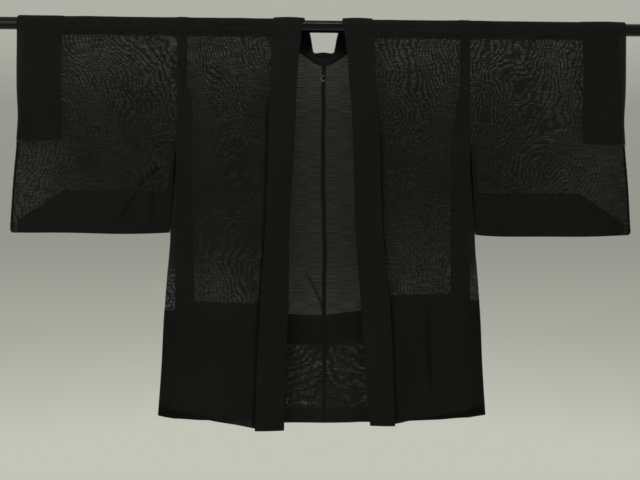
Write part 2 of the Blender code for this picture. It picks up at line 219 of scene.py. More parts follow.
# The neckline at the back, from the centre to the shoulder: nearly a V
neckLine = dict(z=(-0.0785, -0.0715, -0.0480, 0.0000), x=(0.0000, 0.0190, 0.0510, 0.0960))
neckTip, neckCorner = neckLine["z"][:2]
sideSeam = dict(z=(-0.8463, -0.6000, -0.2457, 0.0000), x=(0.3125, 0.3105, 0.3090, 0.3080))
hemLine = {
    right: dict(side=-0.8157, collar=-0.8517, backSide=-0.8370),
    left: dict(side=-0.8150, collar=-0.8417, backSide=-0.8350),
}
collarEdges = {
    right: dict(
        z=(-0.8520, -0.6000, -0.4550, -0.2600, -0.0850, 0.0000),
        fold=(0.0817, 0.0735, 0.0728, 0.0635, 0.0548, 0.0460),
        free=(0.1414, 0.1325, 0.1227, 0.1170, 0.1120, 0.1100),
    ),
    left: dict(
        z=(-0.8420, -0.6000, -0.4550, -0.1500, -0.0650, 0.0000),
        fold=(0.0996, 0.0801, 0.0693, 0.0564, 0.0486, 0.0393),
        free=(0.1516, 0.1408, 0.1257, 0.1124, 0.1060, 0.1018),
    ),
}
# The folds and creases of each leaf of the body, as they hang: start, end, width and height
bodyCreases = {
    (left, front): (
        crease((0.200, -0.500), (0.222, -0.846), 0.017, 0.0062, openEnd=True, grow=0.6),
        crease((0.221, -0.560), (0.235, -0.810), 0.008, -0.0042, bend=0.004, grow=0.4, dark=0.8),
        crease((0.265, -0.560), (0.290, -0.846), 0.021, 0.0066, openEnd=True, grow=0.7),
        crease((0.172, -0.600), (0.182, -0.846), 0.011, -0.0042, openEnd=True, grow=0.5, dark=0.3),
        crease((0.130, -0.110), (0.190, -0.330), 0.016, 0.0014, bend=-0.010),
        crease((0.250, -0.080), (0.215, -0.430), 0.019, -0.0013, bend=0.012),
        crease((0.160, -0.549), (0.300, -0.552), 0.0022, -0.0007),
    ),
    (left, back): (
        crease((0.150, -0.300), (0.165, -0.846), 0.030, 0.0040, openEnd=True, grow=0.6),
        crease((0.235, -0.420), (0.255, -0.846), 0.020, -0.0024, openEnd=True, grow=0.6),
        crease((0.060, -0.160), (0.030, -0.560), 0.018, 0.0014, bend=0.008),
        crease((0.075, -0.640), (0.082, -0.846), 0.015, 0.0024, openEnd=True, grow=0.7),
    ),
    (right, front): (
        crease((0.205, -0.420), (0.225, -0.846), 0.034, 0.0052, openEnd=True, grow=0.6),
        crease((0.270, -0.620), (0.286, -0.846), 0.014, -0.0030, openEnd=True, grow=0.6),
        crease((0.150, -0.120), (0.185, -0.420), 0.020, 0.0013, bend=0.010),
        crease((0.245, -0.060), (0.270, -0.300), 0.016, -0.0011, bend=-0.008),
        crease((0.160, -0.551), (0.300, -0.549), 0.0022, -0.0007),
    ),
    (right, back): (
        crease((0.044, -0.512), (0.001, -0.604), 0.0030, -0.0026, bend=0.003, dark=0.75, openEnd=True),
        crease((0.050, -0.510), (0.012, -0.600), 0.0050, 0.0020, bend=0.003),
        crease((0.004, -0.150), (0.006, -0.400), 0.0050, 0.0016, bend=0.004, dark=0.8),
        crease((0.185, -0.330), (0.205, -0.846), 0.034, 0.0045, openEnd=True, grow=0.6),
        crease((0.270, -0.480), (0.262, -0.846), 0.018, -0.0020, openEnd=True, grow=0.6),
        crease((0.105, -0.600), (0.112, -0.846), 0.016, 0.0022, openEnd=True, grow=0.7),
    ),
}


def bodyInner(side, s):
    z = dropAt(s)
    under = readTable(collarEdges[side], "free", z) - bodyCut["cover"] - bodyCut["underCollar"]
    neck = np.maximum(np.interp(z, neckLine["z"], neckLine["x"]) - bodyCut["underCollar"], 0.0001)
    return neck + (under - neck) * np.clip(0.5 + s / quarter / 2, 0, 1)


def bodyOuter(s):
    return readTable(sideSeam, "x", dropAt(s)) - 0.0001


# Depth of a hanging leaf: the rod's radius, less its closing, with its creases, waves and puckers
def bodyDepth(side, leaf, x, z):
    fromSide = readTable(sideSeam, "x", z) - x
    belowRod = smoothStep(-z / 0.02)
    calm = smoothStep(fromSide / 0.03) * (smoothStep(x / 0.03) if leaf == back else 1.0)
    depth = hang - bodyCut["closing"][leaf] * z / backHem + creaseHeights(bodyCreases[side, leaf], x, z)
    depth = depth + slackWaves(x, z, bodyCut["slack"][leaf], 1.7 * side + leaf) * calm
    depth = depth + seamPucker(fromSide, z, side + leaf) * belowRod
    if leaf == back:
        depth = depth + seamPucker(x, z, 2.0) * belowRod
        depth = depth - bodyCut["centreSink"] * bell(x, bodyCut["centreWidth"])
    return depth - seamSink(fromSide) * belowRod


# The centre-back seam doesn't hang quite straight: both backs follow it, less and less away from it
def seamWander(z, x):
    wander = -0.0050 * z + 0.0011 * np.sin(24 * z + 0.6) + 0.0006 * np.sin(61 * z)
    wander = wander - 0.0034 * bell(z + 0.235, 0.09)
    return wander * smoothStep((-z - 0.08) / 0.04) * np.exp(-x / 0.035)


# The hem follows its own slope; the rows above it take up the difference gradually
def bodyAt(side, s, x):
    s, x = np.broadcast_arrays(s, x)
    z = dropAt(s)
    inner, outer = bodyInner(side, s), bodyOuter(s)
    across = np.clip((x - inner) / (outer - inner), 0, 1)
    line = hemLine[side]
    frontHem = line["collar"] + (line["side"] - line["collar"]) * across
    rearHem = backHem + (line["backSide"] - backHem) * across ** 2
    drop = z + (np.where(s > 0, frontHem, rearHem) - backHem) * (z / backHem) ** 4
    depth = np.where(s > 0, bodyDepth(side, front, x, drop), bodyDepth(side, back, x, drop))
    thick = 0.0007 * smoothStep((x - outer + 0.0230) / 0.003)  # the shoulder lies over the allowance
    placed = side * x + np.where(s < 0, seamWander(drop, x), 0.0)
    return overRod(s, placed, drop, depth, (thick + rodLumps(side * x)) * bell(z, 0.05))


def bodySheet(side):
    s = rowsOver((backHem - quarter, neckTip - quarter), (neckTip - quarter, neckCorner - quarter, 0.0008),
                 (neckCorner - quarter, -quarter),
                 (-quarter, quarter, cloth["rodCell"]), (quarter, quarter - backHem))
    u = np.concatenate([np.linspace(0, 0.06, 9)[:-1], np.linspace(0.06, 1, round(0.29 / cloth["cell"]))])
    inner, outer = bodyInner(side, s), bodyOuter(s)
    x = inner + (outer - inner) * u
    return bodyAt(side, s, x), stacked(x, s)


# The sleeves: one length each, folded over the rod and shut round the bottom
sleeveCut = dict(
    roll=0.0019,  # radius of the fold along the bottom
    cuffHalfGap=0.0028,
    cuffClosing=0.0600,
    sag={right: 0.0020, left: 0.0050},
    slack=0.0013,
    corner=0.006,  # rounding of the bottom outer corner
    width=0.33,  # for distances from its edges
    seamRounding=0.003,
)
cuffEdge = dict(z=(-0.4395, -0.3400, -0.2457, -0.1950, -0.1500, 0.0000),
                x=(0.6600, 0.6545, 0.6465, 0.6425, 0.6435, 0.6400))
freeEdge = dict(z=(-0.4395, -0.3000, -0.2457), x=(0.3255, 0.3140, 0.3093))
sleeveCreases = {
    (left, front): (
        crease((0.590, -0.060), (0.420, -0.250), 0.0200, 0.0018, bend=0.014),
        crease((0.520, -0.120), (0.400, -0.330), 0.0140, -0.0014, bend=0.008),
        crease((0.470, -0.355), (0.380, -0.425), 0.0120, 0.0014, bend=-0.005),
        crease((0.610, -0.240), (0.560, -0.420), 0.0100, 0.0012, bend=0.004),
    ),
    (left, back): (
        crease((0.360, -0.150), (0.470, -0.380), 0.0180, 0.0018, bend=-0.012),
        crease((0.600, -0.200), (0.500, -0.400), 0.0080, -0.0018, bend=0.008),
        crease((0.420, -0.040), (0.450, -0.220), 0.0240, 0.0014, bend=0.010),
    ),
    (right, front): (
        crease((0.336, -0.296), (0.399, -0.356), 0.0034, -0.0034, bend=-0.004, grow=0.12, dark=1.0),
        crease((0.346, -0.290), (0.404, -0.346), 0.0050, 0.0028, bend=-0.004),
        crease((0.385, -0.338), (0.442, -0.425), 0.0040, -0.0028, bend=0.003, dark=0.80),
        crease((0.384, -0.350), (0.430, -0.425), 0.0060, 0.0024, bend=0.003),
        crease((0.360, -0.338), (0.363, -0.425), 0.0034, -0.0026, bend=0.002, dark=0.80),
        crease((0.371, -0.350), (0.373, -0.425), 0.0050, 0.0016),
        crease((0.453, -0.130), (0.356, -0.180), 0.0030, -0.0014, bend=0.004, dark=0.60),
        crease((0.470, -0.145), (0.390, -0.192), 0.0080, 0.0012, bend=-0.003),
        crease((0.600, -0.210), (0.520, -0.380), 0.0180, 0.0016, bend=0.010),
        crease((0.520, -0.030), (0.480, -0.300), 0.0240, -0.0012, bend=-0.012),
    ),
    (right, back): (
        crease((0.380, -0.090), (0.500, -0.310), 0.0220, 0.0020, bend=0.016),
        crease((0.345, -0.260), (0.440, -0.410), 0.0070, -0.0022, bend=0.006),
        crease((0.560, -0.120), (0.590, -0.340), 0.0150, 0.0014, bend=-0.008),
    ),
}


def sleeveInner(z):
    return np.where(z >= armhole, readTable(sideSeam, "x", z) + 0.0001, readTable(freeEdge, "x", z))


# How far a closing edge has rounded over: 1 away from it, nearly 0 on it
def roundedShut(distance):
    near = 1 - np.clip(distance / sleeveCut["seamRounding"], 0, 1)
    return np.sqrt(np.clip(1 - near * near, 0.012, 1))


# Depth of a sleeve's leaf: it follows the body at the armhole, falls straight to the bottom fold
# in the middle, and closes below the cuff opening at the outer edge
def sleeveDepth(side, leaf, z, x, across, foot):
    roll, halfGap = sleeveCut["roll"], sleeveCut["cuffHalfGap"]
    straight = hang + (roll - hang) * z / foot
    atBody = hang - bodyCut["closing"][leaf] * np.maximum(z, armhole) / backHem
    inner = atBody + (roll - atBody) * np.clip((armhole - z) / (armhole - foot), 0, 1)
    toCuff = hang + (halfGap - hang) * np.clip(z / armhole, 0, 1)
    outer = toCuff + (roll - halfGap) * smoothStep((armhole - z) / sleeveCut["cuffClosing"])
    depth = straight + (inner - straight) * smoothStep(1 - across / 0.4)
    depth = depth + (outer - straight) * smoothStep((across - 0.6) / 0.4)
    room = np.maximum(np.clip((depth - roll) / 0.008, 0, 1), 0.12)
    calm = smoothStep(across / 0.1) * smoothStep((1 - across) / 0.06)
    depth = depth + slackWaves(x, z, sleeveCut["slack"], 3.1 * side + leaf) * calm * room
    depth = depth + creaseHeights(sleeveCreases[side, leaf], x, z) * smoothStep((z - foot) / 0.03)
    fromBody = across * sleeveCut["width"]
    sewn = smoothStep((z - armhole) / 0.01) * smoothStep(-z / 0.02)
    depth = np.maximum(depth + (seamPucker(fromBody, z, side + leaf) - seamSink(fromBody)) * sewn, roll)
    shutEdge = roundedShut((1 - across) * sleeveCut["width"])
    shutEdge = 1 + (shutEdge - 1) * smoothStep((armhole - z) / 0.012)
    return depth * roundedShut(z - foot) * shutEdge


def sleeveBottom(side, across):
    wave = sleeveCut["sag"][side] * np.sin(math.pi * across ** 0.7) + 0.0008 * np.sin(9 * across + side)
    return sleeveFoot - wave + sleeveCut["corner"] * np.clip((across - 0.985) / 0.015, 0, 1) ** 2


def sleeveAt(side, s, x):
    s, x = np.broadcast_arrays(s, x)
    z = dropAt(s)
    inner, outer = sleeveInner(z), readTable(cuffEdge, "x", z)
    across = np.clip((x - inner) / (outer - inner), 0, 1)
    foot = sleeveBottom(side, across)
    below = np.minimum(z - armhole, 0) / (sleeveFoot - armhole)
    drop = z * (1 + (foot / sleeveFoot - 1) * below ** 2)
    depth = np.where(s > 0, sleeveDepth(side, front, drop, x, across, foot),
                     sleeveDepth(side, back, drop, x, across, foot))
    thick = 0.0009 * smoothStep((x - outer + 0.0930) / 0.004)  # over the cuff facing
    return overRod(s, side * x, drop, depth, (thick + rodLumps(side * x)) * bell(z, 0.04))


def sleeveSheet(side):
    end, cuff = quarter - sleeveFoot, quarter - armhole
    turn = end - 0.004  # where the fold along the bottom begins
    s = rowsOver((-end, -turn, 0.0006), (-turn, -cuff), (-cuff, -quarter),
                 (-quarter, quarter, cloth["rodCell"]),
                 (quarter, cuff), (cuff, turn), (turn, end, 0.0006))
    u = np.concatenate([np.linspace(0, 0.985, 74)[:-1], np.linspace(0.985, 1, 8)])
    z = dropAt(s)
    inner, outer = sleeveInner(z), readTable(cuffEdge, "x", z)
    x = inner + (outer - inner) * u
    return sleeveAt(side, s, x), stacked(x, s)


# Facings, turnings and seam allowances, all laid inside the sheets above
layers = dict(
    facingWidth=0.0910,
    facingLess=0.0120,  # the facing is this much narrower at the back,
    bandLess=0.0060,  # and so are the side seams' allowances
    slantTop=0.5490,
    slantEnd=(0.6450, -0.4147),
    turningTop=-0.3519,
    sideBand={
        right: dict(z=(-0.62, -0.40, -0.148, -0.137, 0.0), width=(0.0410, 0.0350, 0.0300, 0.0205, 0.0205)),
        left: dict(z=(-0.62, -0.25, -0.158, -0.145, 0.0), width=(0.0400, 0.0380, 0.0270, 0.0200, 0.0195)),
    },
    centreBand=0.0040,  # each side of the centre-back seam
    cuffBand=0.0030,
    freeBand=0.0090,
    edgeDepth=0.0006,  # these two lie this far inside the sleeve
    thickness=0.0003,  # of every allowance
    backTurnedEdge=0.0630,  # the turning's own top edge, folded under
    backTopSlope={right: 0.0030, left: 0.0110},  # how far it rises from the centre seam,
    backTopReach=0.085,  # over this width
    sideInset=0.0022,  # a hem turning ends this far short of the side seam
)


# A strip of a panel between two of its lines, moved in along its normals,
def strip(panelAt, side, s, fromX, toX, columns, distance):
    x = fromX + (toX - fromX) * np.linspace(0, 1, columns)
    return movedIn(panelAt(side, s, x), distance), stacked(x, s)


# or, near the sleeve's bottom fold, straight in along Y
def sleeveStrip(side, leaf, s, fromX, toX, columns, distance):
    x = fromX + (toX - fromX) * np.linspace(0, 1, columns)
    return sleeveAt(side, s, x) - (0, leaf * distance, 0), stacked(x, s)


def facingWidth(s):
    return layers["facingWidth"] - layers["facingLess"] * smoothStep(-s / quarter)


def facingSheet(side):
    reach = quarter - armhole
    s = rowsOver((-reach, -quarter), (-quarter, quarter, cloth["rodCell"]), (quarter, reach))
    edge = readTable(cuffEdge, "x", dropAt(s)) - 0.0008
    return strip(sleeveAt, side, s, edge - facingWidth(s), edge, 22, cloth["inside"])


def slantAt(z):  # the oblique outer end of the sleeve's bottom turning
    (slantX, slantZ), top = layers["slantEnd"], layers["turningTop"]
    return np.interp(z, (slantZ, top), (slantX, layers["slantTop"]))


def sleeveTurningSheet(side):
    s = steps(quarter - layers["turningTop"], quarter - sleeveFoot - 0.0035)[:, None]
    z = dropAt(s)
    return sleeveStrip(side, front, s, sleeveInner(z) + 0.001, slantAt(z), 76, cloth["inside"])


def frontTurningSheet(side):
    s = steps(quarter - frontTurningTop[side], quarter - backHem - 0.001)[:, None]
    inner, outer = bodyInner(side, s) + 0.004, bodyOuter(s) - layers["sideInset"]
    return strip(bodyAt, side, s, inner, outer, 42, cloth["inside"])


def backTopRise(side, x):
    return layers["backTopSlope"][side] * np.clip(x / layers["backTopReach"], 0, 1)


# A layer of the back turning: its top edge rises a little from the centre seam
def backTurningLayer(side, inset, top, foot, distance, levelFoot):
    share = steps(0, 1, cell=cloth["cell"] / (foot - top))[::-1][:, None]
    x = 0.0012 + inset + (sideSeam["x"][0] - 0.0034 - inset) * np.linspace(0, 1, 76)
    rise = backTopRise(side, x)
    s = -(top - rise + (foot - top + rise * levelFoot) * share)
    x = np.minimum(x, bodyOuter(s) - layers["sideInset"])
    return movedIn(bodyAt(side, s, x), distance), stacked(x, s)


def backTurningSheet(side):
    top, foot = quarter - backTurningTop + 0.004, quarter - backHem - 0.001
    return backTurningLayer(side, 0.0, top, foot, cloth["inside"], levelFoot=True)


def backTurnedEdgeSheet(side):
    top = quarter - backTurningTop + 0.0046
    foot = top + layers["backTurnedEdge"]
    return backTurningLayer(side, 0.0004, top, foot, cloth["inside"] - 0.0005, levelFoot=False)


def bandWidth(side, z):
    band = layers["sideBand"][side]
    return np.interp(z, band["z"], band["width"])


def sideBandSheet(side, leaf):
    foot = hemLine[side]["side" if leaf == front else "backSide"]
    s = -leaf * steps(0.004, quarter - foot - 0.002)[:, None]
    outer = bodyOuter(s) - 0.0002
    width = bandWidth(side, dropAt(s)) - layers["bandLess"] * (leaf == back)
    return strip(bodyAt, side, s, outer - width, outer, 10, cloth["allowance"])


def centreBandSheet():
    s = -steps(quarter - neckTip - 0.002, quarter - backHem - 0.001)[::-1][:, None]
    (gridRight, uvRight), (gridLeft, uvLeft) = (
        strip(bodyAt, side, s, 0.0, layers["centreBand"], 4, cloth["allowance"]) for side in (right, left))
    return (np.concatenate([gridRight[:, ::-1], gridLeft[:, 1:]], axis=1),
            np.concatenate([uvRight[:, ::-1] * (-1, 1), uvLeft[:, 1:]], axis=1))


def cuffBandSheet(side, leaf):  # the allowance along the sewn outer edge, below the cuff opening
    s = -leaf * steps(quarter - armhole + 0.004, quarter - sleeveFoot - 0.006)[:, None]
    outer = readTable(cuffEdge, "x", dropAt(s)) - 0.0012
    return sleeveStrip(side, leaf, s, outer - layers["cuffBand"], outer, 5, layers["edgeDepth"])


def freeBandSheet(side, leaf):  # the turned free edge of the sleeve, below the armhole
    s = -leaf * steps(quarter - armhole + 0.002, quarter - sleeveFoot - 0.006)[:, None]
    inner = sleeveInner(dropAt(s)) + 0.0004
    return sleeveStrip(side, leaf, s, inner, inner + layers["freeBand"], 5, layers["edgeDepth"])


# The gussets, between the front and the back of each side
gussetCut = dict(
    start=0.0040,  # below the armhole
    insetX=0.0010,
    insetY=0.0016,
    rounding=1.12,
    slack=0.0010,
    turningTop={right: -0.6010, left: -0.5790},
    turningInside=0.0008,
)
gussetCrease = dict(z=(-0.8463, -0.7200, -0.6200, -0.5400, -0.4420, -0.4150, -0.3000, -0.2457),
                    x=(0.3493, 0.3410, 0.3365, 0.3310, 0.3240, 0.3250, 0.3195, 0.3100))


# From the front side seam out to the pressed crease and back to the rear side seam
def gussetSheet(side):
    t = steps(0, 1, cell=cloth["cell"] / 0.58)[:, None]
    edges = {}
    for leaf, foot in ((front, hemLine[side]["side"]), (back, hemLine[side]["backSide"])):
        z = (armhole - gussetCut["start"]) * (1 - t) + foot * t
        x = readTable(sideSeam, "x", z) - gussetCut["insetX"]
        edges[leaf] = stacked(side * x, leaf * (bodyDepth(side, leaf, x, z) - gussetCut["insetY"]), z)
    v = np.linspace(0, 1, 25)[None, :]
    grid = edges[front] * (1 - v[..., None]) + edges[back] * v[..., None]
    out = 1 - np.abs(2 * v - 1) ** gussetCut["rounding"]
    grid[..., 0] += (side * readTable(gussetCrease, "x", grid[..., 2]) - grid[..., 0]) * out
    grid[..., 1] += gussetCut["slack"] * np.sin(38 * grid[..., 2] + side) * out * (1 - out) * 4
    half = np.linalg.norm(np.diff(grid, axis=1), axis=2).sum(axis=1)[:, None] / 2
    return grid, stacked((2 * v - 1) * half, grid[..., 2])


def gussetTurningSheet(side):  # the gusset's own hem fold, inside it
    grid, uv = gussetSheet(side)
    low = grid[:, 0, 2] < gussetCut["turningTop"][side]
    grid, uv = grid[low], uv[low]
    return grid + unit(grid.mean(axis=1, keepdims=True) - grid) * gussetCut["turningInside"], uv


# The collar: a band folded outward along its length
collarCut = dict(
    roll=0.0010,  # radius of the roll between its leaves
    thickness=0.0009,
    stand=0.0038,  # how far the free edge stands off the front
    under=0.0005,  # the inner leaf lies this far inside the panel's edge
    coverBehind=0.0018,
    wobble=0.0006,
    puff=0.0012,  # the outer leaf stands a little off the inner one
)
# The folded edge behind the neck, from where it leaves the rod to the centre back,
# and how far out the seam is at each of its points
collarBehind = dict(
    x=(0.0380, 0.0310, 0.0270, 0.0245, 0.0200, 0.0000),
    y=(hang, 0.0270, 0.0380, 0.0440, 0.0465, 0.0480),
    z=(0.0000, -0.0040, -0.0170, -0.0310, -0.0410, -0.0390),
    seam=(0.0960, 0.0765, 0.0578, 0.0391, 0.0215, 0.0000),
)


# Seam, folded edge and free edge of half the collar, and which way it faces, from the front hem
# over the rod to the centre back
def collarLines(side):
    table, cover = collarEdges[side], bodyCut["cover"]
    z = steps(hemLine[side]["collar"] - 0.002, 0.0)[:-1]
    wave = collarCut["wobble"] * (np.sin(21 * z + side) + 0.6 * np.sin(47 * z + 2 * side))
    kink = 0.0022 * bell(z + 0.552, 0.006)  # where the garment was folded away
    freeX = readTable(table, "free", z) + wave + kink
    foldX = readTable(table, "fold", z) + 0.7 * wave[::-1]
    seamX = readTable(table, "free", z) - cover
    depth = bodyDepth(side, front, seamX, z)
    angle = steps(math.pi / 2, -math.pi / 2, cell=0.08)[:-1]
    turn = (math.pi / 2 - angle) / math.pi
    last = len(collarBehind["x"]) - 1
    k = steps(0, last, cell=0.11)

    def behind(key, mirror):  # one point past the centre, so that the curve crosses it squarely
        values = collarBehind[key]
        return curveThrough(range(last + 2), (*values, mirror * values[-2]), k)

    def line(inFront, overTop, rear):  # x of its three stretches, and y and z of the last
        rearX, rearY, rearZ = rear
        return stacked(np.concatenate([inFront, overTop, rearX]),
                       np.concatenate([-depth, -hang * np.sin(angle), rearY]),
                       np.concatenate([z, hang * np.cos(angle), rearZ]))

    neckX = behind("seam", -1)
    neckZ = np.interp(neckX, neckLine["x"], neckLine["z"])
    seam = line(seamX, (table["free"][-1] - cover) * (1 - turn) + neckLine["x"][-1] * turn,
                (neckX, np.full_like(k, hang), neckZ))
    fold = line(foldX, table["fold"][-1] * (1 - turn) + collarBehind["x"][0] * turn,
                (behind("x", -1), behind("y", 1), behind("z", 1)))
    lift = np.concatenate([stacked(0 * z, -1, 0), stacked(0 * angle, -np.sin(angle), np.cos(angle)),
                           stacked(0 * k, 1, 0)])
    outwards = unit(np.cross(lift, np.gradient(seam, axis=0)))
    outwards *= np.sign(outwards[:, :1])
    outwards[-1] = (0, 0, -1)
    reach = np.concatenate([freeX - seamX, np.full_like(angle, cover),
                            np.interp(k, (0, last), (cover, collarCut["coverBehind"]))])
    heights = np.concatenate([z, 0 * angle, 0 * k])
    stand = collarCut["stand"] * smoothStep((-heights - 0.02) / 0.20)
    stand = stand * (1 + 0.25 * np.sin(17 * heights + 2 * side))
    free = seam + outwards * reach[:, None] + lift * (2 * collarCut["roll"] + stand[:, None])
    under = lift * collarCut["under"]
    return [points * (side, 1, 1) for points in (seam - under, fold - under, free, lift)]


# Each section runs across the inner leaf, round the roll and back across the outer leaf
def collarSheet():
    halves = {side: collarLines(side) for side in (right, left)}
    seam, fold, free, lift = (np.concatenate([halves[right][i], halves[left][i][::-1][1:]]) for i in range(4))
    width = np.linalg.norm(fold - seam, axis=1, keepdims=True)
    across = (fold - seam) / width
    out = unit(np.cross(np.gradient((seam + fold) / 2, axis=0), across))
    out = out * np.sign(np.sum(out * lift, axis=1, keepdims=True))
    radius = collarCut["roll"] + collarCut["under"] / 2
    bend = seam + across * (width - radius)
    top = bend + out * 2 * radius
    seam, bend, top, free, out, across = (points[:, None] for points in (seam, bend, top, free, out, across))
    share = np.linspace(0, 1, 11)[None, :, None]
    angle = np.linspace(0, math.pi, 8)[1:-1][None, :, None]
    grid = np.concatenate([
        seam + (bend - seam) * share,
        bend + out * radius * (1 - np.cos(angle)) + across * radius * np.sin(angle),
        top + (free - top) * share + out * collarCut["puff"] * np.sin(math.pi * share)], axis=1)
    run = np.concatenate([[0], np.cumsum(np.linalg.norm(np.diff(seam[:, 0], axis=0), axis=1))])[:, None]
    wide = np.concatenate([[0], np.cumsum(np.linalg.norm(np.diff(grid, axis=1), axis=2).mean(axis=0))])
    return grid, stacked(wide, run)


# The finishes: nodes, and the groups that several of them share
def addNode(tree, kind, inputs=None, **settings):
    node = tree.nodes.new(kind)
    for key, value in settings.items():
        setattr(node, key, value)
    for key, value in (inputs or {}).items():
        if isinstance(value, bpy.types.NodeSocket):
            tree.links.new(value, node.inputs[key])
        else:
            node.inputs[key].default_value = value
    return node


def maths(tree, operation, *values):
    return addNode(tree, "ShaderNodeMath", dict(enumerate(values)), operation=operation).outputs[0]


def plus(tree, start, *terms):  # each term is a pair, multiplied together
    for value, factor in terms:
        start = maths(tree, "MULTIPLY_ADD", value, factor, start)
    return start


def product(tree, total, *values):
    for value in values:
        total = maths(tree, "MULTIPLY", total, value)
    return total


def cosineOf(tree, turns):
    return maths(tree, "COSINE", maths(tree, "MULTIPLY", turns, 2 * math.pi))


def bandsOf(tree, turns, sharpness):  # the cosine again, from 0 to 1 and narrowed
    return maths(tree, "POWER", plus(tree, 0.5, (cosineOf(tree, turns), 0.5)), sharpness)


def mapped(tree, value, low, high, newLow, newHigh):
    node = addNode(tree, "ShaderNodeMapRange", {"Value": value, "From Min": low, "From Max": high,
                                                "To Min": newLow, "To Max": newHigh}, clamp=True)
    return node.outputs["Result"]


def noiseOf(tree, vector, scale, detail=1.0, stretch=(1, 1, 1)):
    spread = addNode(tree, "ShaderNodeVectorMath", {0: vector, 1: stretch}, operation="MULTIPLY").outputs[0]
    noise = addNode(tree, "ShaderNodeTexNoise", {"Vector": spread, "Scale": scale, "Detail": detail})
    return noise.outputs["Fac"]


def cloudy(tree, scale, detail, low, high):  # broad noise on the object's own coordinates
    place = addNode(tree, "ShaderNodeTexCoord").outputs["Object"]
    return mapped(tree, noiseOf(tree, place, scale, detail), 0.3, 0.7, low, high)


def tinted(tree, colour, *factors):
    scale = product(tree, *factors)
    return addNode(tree, "ShaderNodeVectorMath", {0: colour, "Scale": scale}, operation="SCALE").outputs[0]


def newGroup(name, inputs):  # an input without a value is a vector
    group = bpy.data.node_groups.new(name, "ShaderNodeTree")
    for label, value in inputs.items():
        kind = "NodeSocketVector" if value is None else "NodeSocketFloat"
        socket = group.interface.new_socket(label, in_out="INPUT", socket_type=kind)
        if value is not None:
            socket.default_value = value
    return group, addNode(group, "NodeGroupInput").outputs


def finishGroup(group, outputs):
    for label in outputs:
        group.interface.new_socket(label, in_out="OUTPUT", socket_type="NodeSocketFloat")
    addNode(group, "NodeGroupOutput", outputs)
    return group


# Ro weave: plain stripes of weft between rows of openings, with warp and weft threads and
# thin slubs that run along the weft
def roWeaveGroup():
    group, given = newGroup("roWeave", {"Weave": None, "Row": 0.0046, "Thread": 0.0006, "Contrast": 1.0})
    parts = addNode(group, "ShaderNodeSeparateXYZ", {0: given["Weave"]}).outputs
    drift = noiseOf(group, given["Weave"], 20, stretch=(1, 0.4, 1))
    row = bandsOf(group, plus(group, maths(group, "DIVIDE", parts["Y"], given["Row"]), (drift, 1.6)), 2.0)
    slub = noiseOf(group, given["Weave"], 1, 2.0, (30, 600, 1))
    warp, weft = (cosineOf(group, maths(group, "DIVIDE", parts[axis], given["Thread"])) for axis in "XY")
    change = plus(group, -0.40, (slub, 0.9), (row, -0.2))
    return finishGroup(group, {
        "Opening": plus(group, mapped(group, slub, 0.34, 0.66, 1.45, 0.05), (row, 0.7)),
        "Tint": plus(group, 1.0, (change, given["Contrast"])),
        "Height": plus(group, slub, (row, -0.5), (product(group, warp, weft), 0.25)),
    })


# Moire between two layers: contour lines of a slowly wandering displacement, leaning with the
# run of the threads, broken into short dashes and fading in and out in patches
def moireGroup():
    inputs = {"Weave": None, "Wander": 10.0, "Lean": 36.0, "Run across": 124.0, "Run down": 12.0, "Seed": 0.0}
    group, given = newGroup("moire", inputs)
    parts = addNode(group, "ShaderNodeSeparateXYZ", {0: given["Weave"]}).outputs
    place = addNode(group, "ShaderNodeCombineXYZ", {0: parts["X"], 1: parts["Y"], 2: given["Seed"]})
    place = place.outputs[0]
    turns = plus(group, 0.0, (noiseOf(group, place, 11, 1.5), given["Wander"]),
                 (noiseOf(group, place, 3.2, 0.0), given["Lean"]), (noiseOf(group, place, 70), 1.3),
                 (parts["X"], given["Run across"]), (parts["Y"], given["Run down"]))
    dash = mapped(group, noiseOf(group, place, 1, stretch=(140, 250, 1)), 0.36, 0.66, 0.05, 2.2)
    patch = mapped(group, noiseOf(group, place, 18, 2.0), 0.34, 0.68, 0.35, 1.6)
    return finishGroup(group, {"Light": product(group, bandsOf(group, turns, 1.9), dash, patch)})


# What one face of a two-faced shell has to hide, so that both together pass the given share of light
def sheerGroup():
    group, given = newGroup("sheer", {"Pass": 0.1})
    passed = mapped(group, given["Pass"], 0.0, 0.98, 0.0, 0.98)
    return finishGroup(group, {"Alpha": maths(group, "SUBTRACT", 1.0, maths(group, "SQRT", passed))})


# Cloudy wear: broad faint tones with a little lint
def wornGroup():
    group, given = newGroup("worn", {"Place": None, "Lint": 0.5})
    specks = addNode(group, "ShaderNodeTexVoronoi", {"Vector": given["Place"], "Scale": 46.0})
    specks = mapped(group, specks.outputs["Distance"], 0.03, 0.055, 1.0, 0.0)
    return finishGroup(group, {
        "Tint": mapped(group, noiseOf(group, given["Place"], 7, 3.0), 0.3, 0.7, 0.88, 1.12),
        "Lint": product(group, specks, given["Lint"]),
    })


shared = dict(weave=roWeaveGroup(), moire=moireGroup(), sheer=sheerGroup(), worn=wornGroup())


def groupNode(tree, name, inputs):
    return addNode(tree, "ShaderNodeGroup", inputs, node_tree=shared[name]).outputs


def newMaterial(name, roughness, specular):
    material = bpy.data.materials.new(name)
    material.use_nodes = True
    tree = material.node_tree
    shader = tree.nodes["Principled BSDF"]
    shader.inputs["Roughness"].default_value = roughness
    shader.inputs["Specular IOR Level"].default_value = specular
    return material, tree, shader


gauzeLook = dict(
    colour=(0.0098, 0.0106, 0.0086),
    lint=(0.05, 0.05, 0.047),
    roughness=0.70,
    specular=0.04,
    frontPass=0.215,  # share of light through one front leaf, before the moire,
    backPass=0.036,  # and through one back leaf
    moireBase=0.30,
    moireGain=7.0,
    foldShadeTone=-0.75,  # how much the fold mark darkens: painted shade in pinched creases, crevices and the hem's corners
)
seamLook = dict(gauzeLook, colour=(0.0070, 0.0074, 0.0064))
collarLook = dict(gauzeLook, colour=(0.0078, 0.0079, 0.0075), roughness=0.60, foldShadeTone=-0.85)
